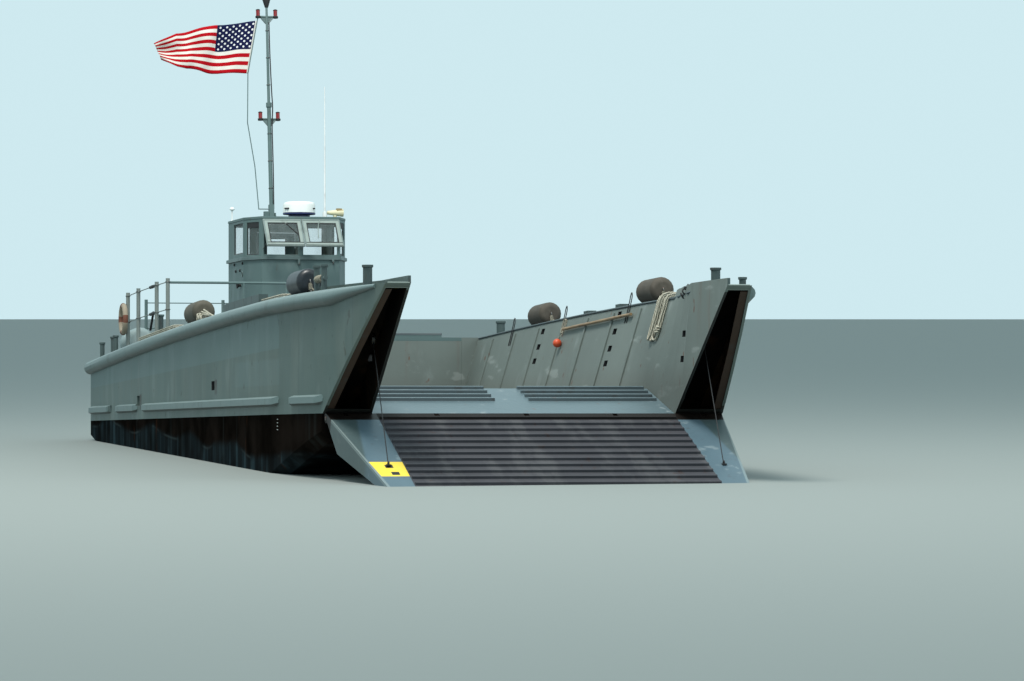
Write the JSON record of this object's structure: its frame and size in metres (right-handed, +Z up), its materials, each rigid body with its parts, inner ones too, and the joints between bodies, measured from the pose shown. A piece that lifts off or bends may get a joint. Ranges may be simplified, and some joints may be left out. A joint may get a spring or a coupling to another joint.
{
  "type": "military landing craft",
  "caption": "Steel landing craft with a lowered bow ramp, open cargo well with sloped sides, pilothouse and folding mast aft, screws and rudders under the stern.",
  "frame": {"origin": "under the middle of the whole craft with its ramp lowered, on the plane of the flat bottom", "axes": "+X forward along the keel to the bow ramp, +Y to port, +Z up"},
  "size_m": [22.9388, 6.4566, 9.4785],
  "materials": {
    "topside": "satin haze grey paint",
    "bottom": "worn black boot-top paint",
    "deck": "matt non-skid deck paint",
    "ramp": "scuffed dark ramp paint",
    "bronze": "dull bronze",
    "steel": "worn steel",
    "engine": "engine enamel",
    "white": "gloss white shell",
    "cream": "cream enamel",
    "black": "black vinyl",
    "fender": "scuffed rubber",
    "rope": "laid rope",
    "flag": "striped bunting",
    "ring": "faded canvas",
    "wood": "bare weathered wood",
    "orange": "faded orange float"
  },
  "bodies": {
    "hull": {"hull_bottom": "bottom", "topside_starboard": "topside", "topside_port": "topside", "upper_rub_rail": "topside", "transom_plate": "topside", "after_deck": "deck", "well_bulkhead": "topside", "well_floor": "deck", "well_apron": "ramp", "ramp_pin": "steel", "engine_starboard": "engine", "engine_port": "engine", "window_starboard": "topside", "window_port": "topside", "pilothouse_lower": "topside", "pilothouse_upper": "topside", "pilothouse_roof": "topside", "helm_console": "topside", "helm_wheel": "steel", "helm_seat": "black", "mast_step": "topside", "radome": "white", "whip_antenna": "white", "position_antenna": "white", "signal_horn": "cream", "guard_rail": "topside", "cross_rail": "topside", "stern_rail": "topside", "fender_starboard_mid": "fender", "fender_starboard_bow": "fender", "fender_starboard_quarter": "fender", "fender_port_mid": "fender", "fender_port_bow": "fender", "life_ring": "ring", "deck_rope": "rope", "bow_line": "rope", "rope_hank": "rope", "bunched_line": "rope", "wall_pole": "wood", "wall_float": "orange"},
    "ramp": {"bow_ramp": "ramp"},
    "screw_starboard": {"propeller_starboard": "bronze"},
    "screw_port": {"propeller_port": "bronze"},
    "steering_starboard": {"rudder_starboard": "bottom"},
    "steering_port": {"rudder_port": "bottom"},
    "door": {"cabin_door": "topside"},
    "mast": {"mast": "topside", "flag": "flag"},
    "hatch_starboard": {"hatch_lid_starboard": "deck"},
    "hatch_port": {"hatch_lid_port": "deck"}
  },
  "joints": [
    {"name": "ramp_hinge", "type": "hinge", "parent": "hull", "child": "ramp", "pos_m": [8.569, 0, 1.46], "axis": [0, -1, 0], "range_deg": [-4, 56.4]},
    {"name": "propeller_starboard", "type": "hinge", "parent": "hull", "child": "screw_starboard", "pos_m": [-10.171, -1.25, 0.47], "axis": [1, 0, 0], "continuous": true},
    {"name": "propeller_port", "type": "hinge", "parent": "hull", "child": "screw_port", "pos_m": [-10.171, 1.25, 0.47], "axis": [1, 0, 0], "continuous": true},
    {"name": "rudder_starboard", "type": "hinge", "parent": "hull", "child": "steering_starboard", "pos_m": [-10.791, -1.25, 0.93], "axis": [0, 0, 1], "range_deg": [-35, 35]},
    {"name": "rudder_port", "type": "hinge", "parent": "hull", "child": "steering_port", "pos_m": [-10.791, 1.25, 0.93], "axis": [0, 0, 1], "range_deg": [-35, 35]},
    {"name": "cabin_door", "type": "hinge", "parent": "hull", "child": "door", "pos_m": [-9.4634, 0.297, 3.9], "axis": [0, 0, -1], "range_deg": [0, 105]},
    {"name": "mast_fold", "type": "hinge", "parent": "hull", "child": "mast", "pos_m": [-9.601, -0.1, 5.215], "axis": [0, -1, 0], "range_deg": [0, 83]},
    {"name": "hatch_starboard", "type": "hinge", "parent": "hull", "child": "hatch_starboard", "pos_m": [-5.851, -2.045, 2.97], "axis": [1, 0, 0], "range_deg": [0, 100]},
    {"name": "hatch_port", "type": "hinge", "parent": "hull", "child": "hatch_port", "pos_m": [-5.851, 2.045, 2.97], "axis": [-1, 0, 0], "range_deg": [0, 100]}
  ],
  "couplings": [
    {"joint": "rudder_port", "follows": "rudder_starboard", "ratio": 1}
  ]
}
